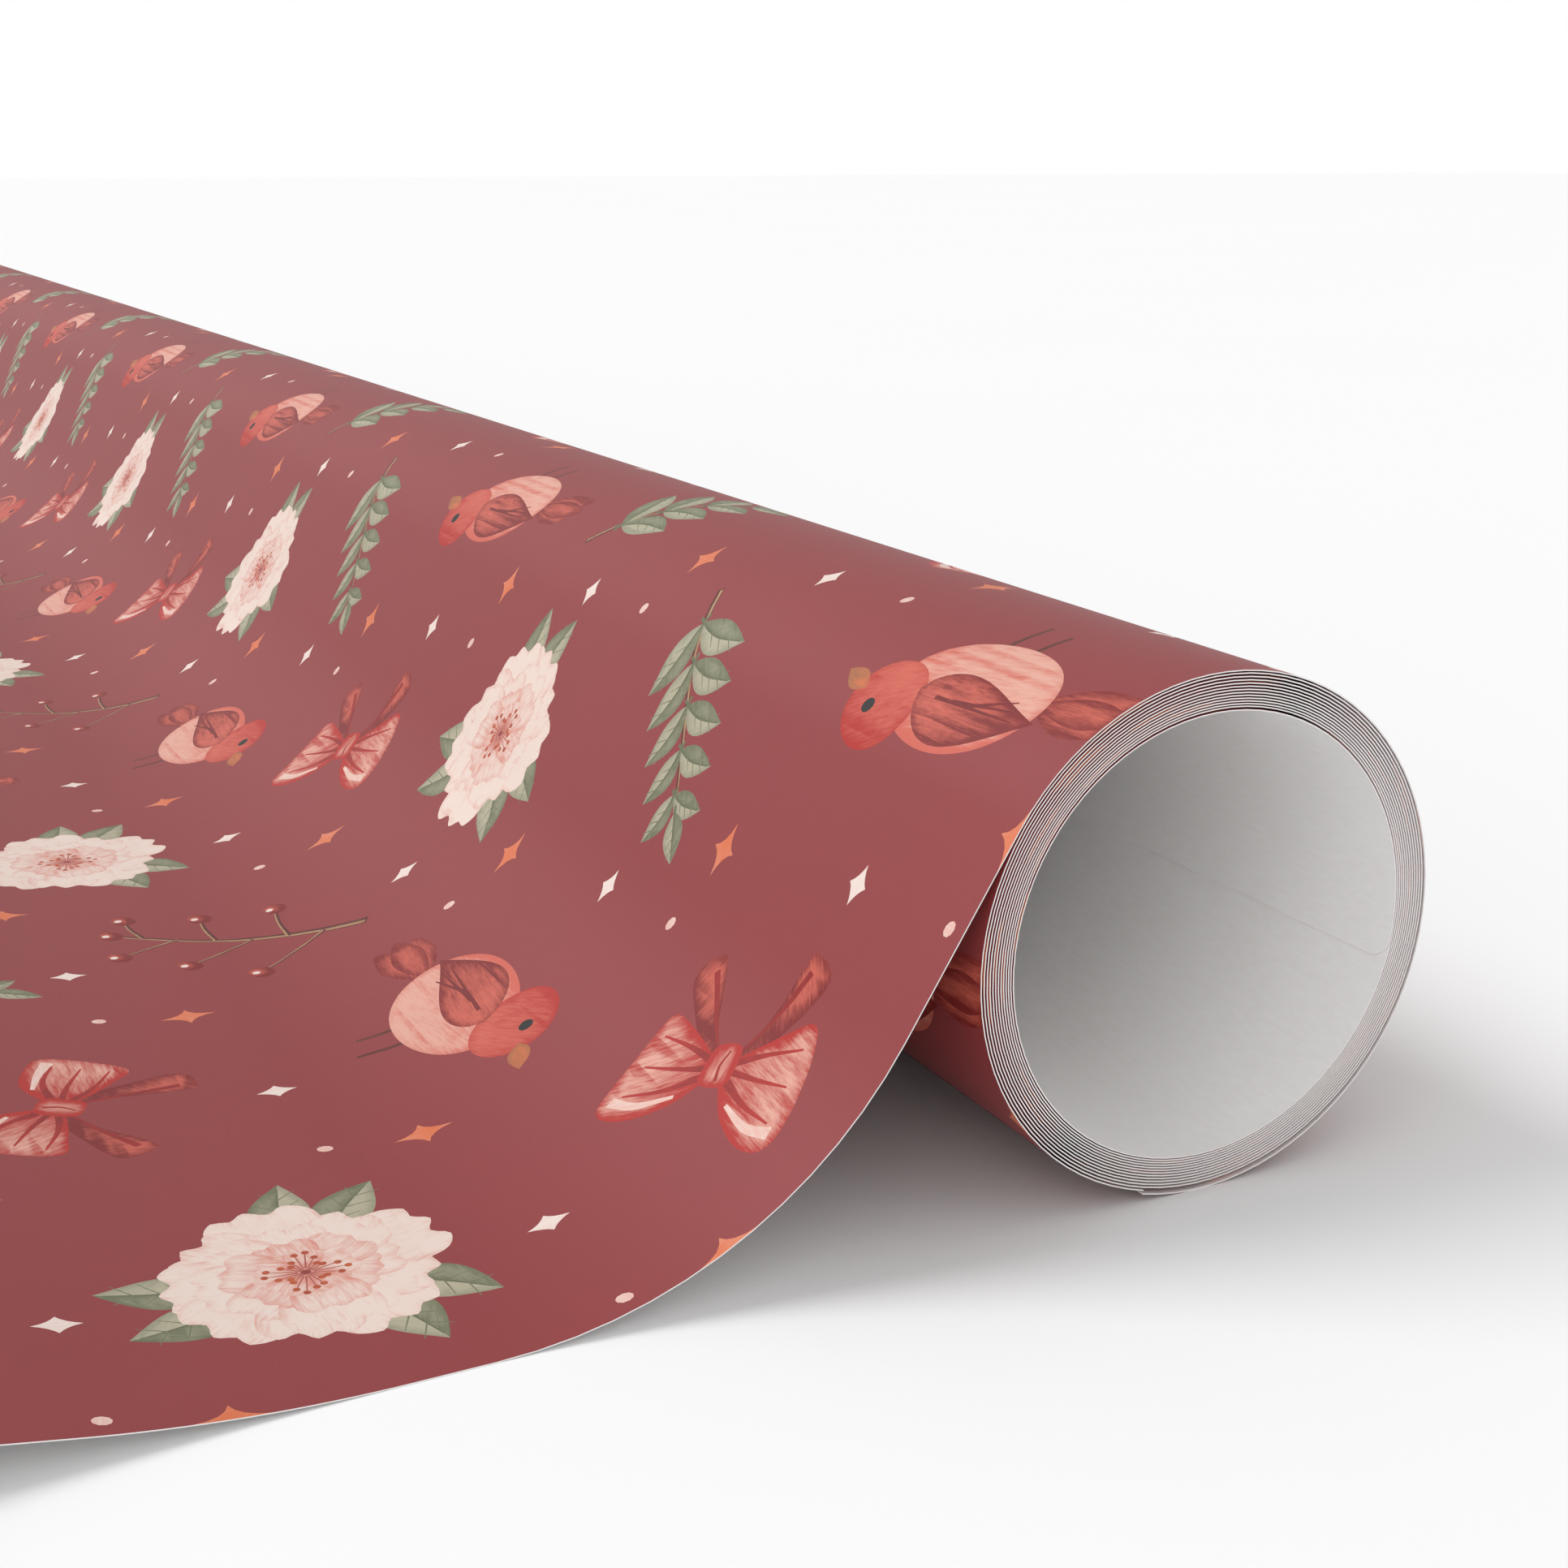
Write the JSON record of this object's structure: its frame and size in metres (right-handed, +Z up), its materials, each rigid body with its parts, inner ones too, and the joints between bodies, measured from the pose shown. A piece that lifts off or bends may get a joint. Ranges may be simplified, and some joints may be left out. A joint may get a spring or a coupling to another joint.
{
  "type": "wrapping paper roll",
  "caption": "Coreless roll of printed gift wrap lying on a table, with its outer end drawn off over the top and along the table. The roll turns inside its loose last wrap.",
  "frame": {"origin": "on the axis of the roll's hollow centre, in the middle of the paper's width", "axes": "+X along the roll's axis, +Z up from the table, -Y the way the sheet is drawn off"},
  "size_m": [0.762, 0.1994, 0.0425],
  "materials": {
    "printed_paper": "smooth satin gift wrap, printed all over on a dusty rose ground",
    "plain_paper": "unprinted matt white back of the same paper"
  },
  "bodies": {
    "sheet": {"outer_wrap": "printed_paper", "drawn_sheet": "printed_paper"},
    "wound_roll": {"turn_05": "plain_paper", "turn_06": "plain_paper", "turn_07": "plain_paper", "turn_08": "plain_paper", "turn_09": "plain_paper", "turn_10": "plain_paper", "turn_11": "plain_paper", "turn_12": "plain_paper", "turn_13": "printed_paper"},
    "roll_centre": {"turn_01": "plain_paper", "turn_02": "plain_paper", "turn_03": "plain_paper", "turn_04": "plain_paper"},
    "free_end": {"free_end": "printed_paper"}
  },
  "joints": [
    {"name": "roll_turn", "type": "hinge", "parent": "sheet", "child": "wound_roll", "pos_m": [0, 0, 0], "axis": [1, 0, 0], "continuous": true},
    {"name": "roll_centre_slide", "type": "slide", "parent": "wound_roll", "child": "roll_centre", "axis": [1, 0, 0], "range_m": [-0.06, 0.06]},
    {"name": "free_end_lift", "type": "hinge", "parent": "sheet", "child": "free_end", "pos_m": [0, -0.065, -0.02115], "axis": [-1, 0, 0], "range_deg": [0, 80]}
  ]
}
